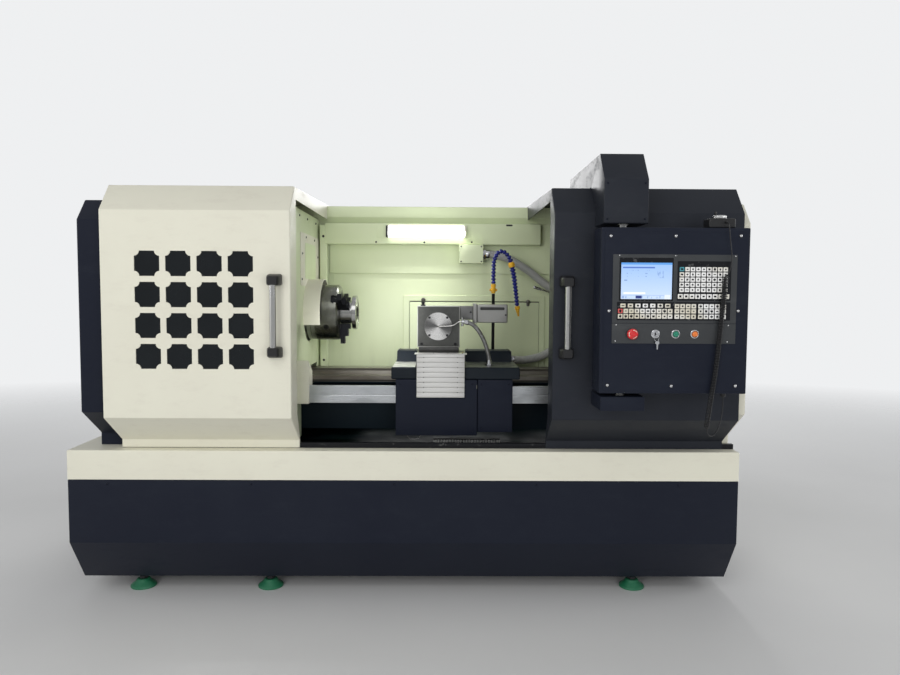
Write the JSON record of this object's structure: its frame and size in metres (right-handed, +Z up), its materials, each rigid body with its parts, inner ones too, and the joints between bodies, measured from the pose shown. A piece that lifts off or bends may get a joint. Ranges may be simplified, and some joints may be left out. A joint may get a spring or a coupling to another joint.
{
  "type": "cnc turning lathe",
  "caption": "Flat-bed CNC turning lathe with sliding sheet-metal hoods, swivelling control box, jaw chuck, slatted carriage apron, tool turret and chip tray",
  "frame": {"origin": "on the floor below the middle of the machine, halfway between the emergency stop's face and the back of the chip tray, feet on Z 0", "axes": "+X along the spindle from headstock to tailstock, +Y from the operator to the back, +Z up"},
  "size_m": [2.65, 1.52, 1.742],
  "materials": {
    "cream_paint": "semi-gloss cream white powder coat",
    "navy_paint": "semi-gloss dark blue-grey powder coat",
    "green_paint": "light green paint inside the work area",
    "grey_iron": "machined grey iron, oiled",
    "bright_steel": "turned, ground or stainless steel",
    "black_steel": "hardened, blackened steel",
    "saddle_paint": "dark grey paint on cast iron",
    "cast_aluminium": "cast and rolled aluminium",
    "black_plastic": "black moulded plastic",
    "belt_rubber": "black rubber",
    "conduit_grey": "grey corrugated plastic",
    "hose_blue": "blue acetal ball links",
    "dark_pane": "dark polycarbonate",
    "lamp_lens": "white diffusing lens",
    "screen_blue": "blue display behind a clear window",
    "panel_film": "dark membrane film on a metal plate",
    "red_plastic": "red mushroom head",
    "green_plastic": "green push button",
    "orange_plastic": "orange push button",
    "motor_paint": "blue-grey enamel",
    "switchgear": "grey switchgear housings"
  },
  "bodies": {
    "machine": {"base_cabinet": "navy_paint", "chip_tray": "cream_paint", "bed": "grey_iron", "headstock": "cream_paint", "headstock_cover": "cream_paint", "left_end_cover": "navy_paint", "headstock_partition": "green_paint", "right_end_cover": "cream_paint", "back_wall": "green_paint", "work_lamp": "lamp_lens", "access_panel": "green_paint", "door_rail": "bright_steel", "screw_cover": "bright_steel", "z_servo": "black_plastic", "main_motor": "motor_paint", "drive_belt": "belt_rubber", "electrical_cabinet": "cream_paint", "cabinet_gear": "switchgear", "coolant_pump": "motor_paint", "wall_conduit": "conduit_grey"},
    "left_hood": {"left_hood": "cream_paint", "window_pane": "dark_pane", "left_handle": "black_plastic"},
    "right_hood": {"right_hood": "navy_paint", "right_handle": "black_plastic"},
    "control_box": {"control_box": "navy_paint", "operator_panel": "panel_film", "screen": "screen_blue", "pulse_box": "black_plastic", "pulse_cord": "black_plastic"},
    "emergency_stop": {"emergency_stop": "red_plastic"},
    "key_switch": {"key_switch": "bright_steel"},
    "start_button": {"start_button": "green_plastic"},
    "hold_button": {"hold_button": "orange_plastic"},
    "pulse_dial": {"pulse_dial": "bright_steel"},
    "spindle": {"spindle": "grey_iron", "chuck_body": "bright_steel", "setting_ring": "bright_steel"},
    "chuck_jaw_1": {"chuck_jaw_1": "black_steel"},
    "chuck_jaw_2": {"chuck_jaw_2": "black_steel"},
    "chuck_jaw_3": {"chuck_jaw_3": "black_steel"},
    "motor_pulley": {"motor_pulley": "grey_iron"},
    "carriage": {"saddle": "saddle_paint", "apron_cover": "navy_paint", "slat_curtain": "cast_aluminium", "coolant_pole": "black_plastic", "link_hose": "hose_blue", "saddle_conduit": "conduit_grey", "coolant_hose": "bright_steel"},
    "lead_screw": {"lead_screw": "bright_steel"},
    "cross_slide": {"cross_slide": "grey_iron", "turret_housing": "cast_aluminium", "turret_motor": "cast_aluminium"},
    "tool_head": {"tool_head": "black_steel"},
    "tailstock": {"tailstock": "cream_paint"},
    "quill": {"quill": "bright_steel"},
    "tail_handwheel": {"tail_handwheel": "bright_steel"},
    "cabinet_door": {"cabinet_door": "cream_paint"}
  },
  "joints": [
    {"name": "left_hood_slide", "type": "slide", "parent": "machine", "child": "left_hood", "axis": [1, 0, 0], "range_m": [0, 0.49]},
    {"name": "right_hood_slide", "type": "slide", "parent": "machine", "child": "right_hood", "axis": [1, 0, 0], "range_m": [-0.49, 0]},
    {"name": "control_box_swivel", "type": "hinge", "parent": "right_hood", "child": "control_box", "pos_m": [0.79, -0.662, 1.176], "axis": [0, 0, 1], "range_deg": [-45, 0]},
    {"name": "emergency_stop_press", "type": "slide", "parent": "control_box", "child": "emergency_stop", "axis": [0, 1, 0], "range_m": [0, 0.004]},
    {"name": "key_switch_turn", "type": "hinge", "parent": "control_box", "child": "key_switch", "pos_m": [0.894, -0.737, 1.096], "axis": [0, 1, 0], "range_deg": [0, 90]},
    {"name": "start_button_press", "type": "slide", "parent": "control_box", "child": "start_button", "axis": [0, 1, 0], "range_m": [0, 0.004], "stiffness_N_per_m": 400, "springref_m": -0.002},
    {"name": "hold_button_press", "type": "slide", "parent": "control_box", "child": "hold_button", "axis": [0, 1, 0], "range_m": [0, 0.004], "stiffness_N_per_m": 400, "springref_m": -0.002},
    {"name": "pulse_dial_turn", "type": "hinge", "parent": "control_box", "child": "pulse_dial", "pos_m": [1.125, -0.69, 1.502], "axis": [0, 0, 1], "continuous": true},
    {"name": "spindle_turn", "type": "hinge", "parent": "machine", "child": "spindle", "pos_m": [-0.8, 0.06, 1.142], "axis": [1, 0, 0], "continuous": true},
    {"name": "chuck_jaw_1_slide", "type": "slide", "parent": "spindle", "child": "chuck_jaw_1", "axis": [0, 0, -1], "range_m": [0, 0.015]},
    {"name": "chuck_jaw_2_slide", "type": "slide", "parent": "spindle", "child": "chuck_jaw_2", "axis": [0, -0.866, 0.5], "range_m": [0, 0.015]},
    {"name": "chuck_jaw_3_slide", "type": "slide", "parent": "spindle", "child": "chuck_jaw_3", "axis": [0, 0.866, 0.5], "range_m": [0, 0.015]},
    {"name": "motor_pulley_turn", "type": "hinge", "parent": "machine", "child": "motor_pulley", "pos_m": [-1.16, 0.06, 0.27], "axis": [1, 0, 0], "continuous": true},
    {"name": "carriage_slide", "type": "slide", "parent": "machine", "child": "carriage", "axis": [1, 0, 0], "range_m": [-0.22, 0.18]},
    {"name": "lead_screw_turn", "type": "hinge", "parent": "machine", "child": "lead_screw", "pos_m": [0.3, -0.178, 0.8], "axis": [1, 0, 0], "range_deg": [-7930, 6490]},
    {"name": "cross_slide_slide", "type": "slide", "parent": "carriage", "child": "cross_slide", "axis": [0, 1, 0], "range_m": [0, 0.22]},
    {"name": "tool_head_turn", "type": "hinge", "parent": "cross_slide", "child": "tool_head", "pos_m": [0.129, -0.031, 1.091], "axis": [0, 1, 0], "continuous": true},
    {"name": "tailstock_slide", "type": "slide", "parent": "machine", "child": "tailstock", "axis": [1, 0, 0], "range_m": [-0.06, 0]},
    {"name": "quill_slide", "type": "slide", "parent": "tailstock", "child": "quill", "axis": [-1, 0, 0], "range_m": [0, 0.08]},
    {"name": "tail_handwheel_turn", "type": "hinge", "parent": "tailstock", "child": "tail_handwheel", "pos_m": [1.13, 0.06, 1.142], "axis": [1, 0, 0], "range_deg": [0, 5760]},
    {"name": "cabinet_door_swing", "type": "hinge", "parent": "machine", "child": "cabinet_door", "pos_m": [-1.05, 0.7463, 1.0557], "axis": [0, 0, 1], "range_deg": [0, 110]}
  ],
  "couplings": [
    {"joint": "chuck_jaw_2_slide", "follows": "chuck_jaw_1_slide", "ratio": 1},
    {"joint": "chuck_jaw_3_slide", "follows": "chuck_jaw_1_slide", "ratio": 1},
    {"joint": "motor_pulley_turn", "follows": "spindle_turn", "ratio": 1.5},
    {"joint": "lead_screw_turn", "follows": "carriage_slide", "rad_per_m": 628.32},
    {"joint": "quill_slide", "follows": "tail_handwheel_turn", "m_per_rad": 0.00079577}
  ]
}
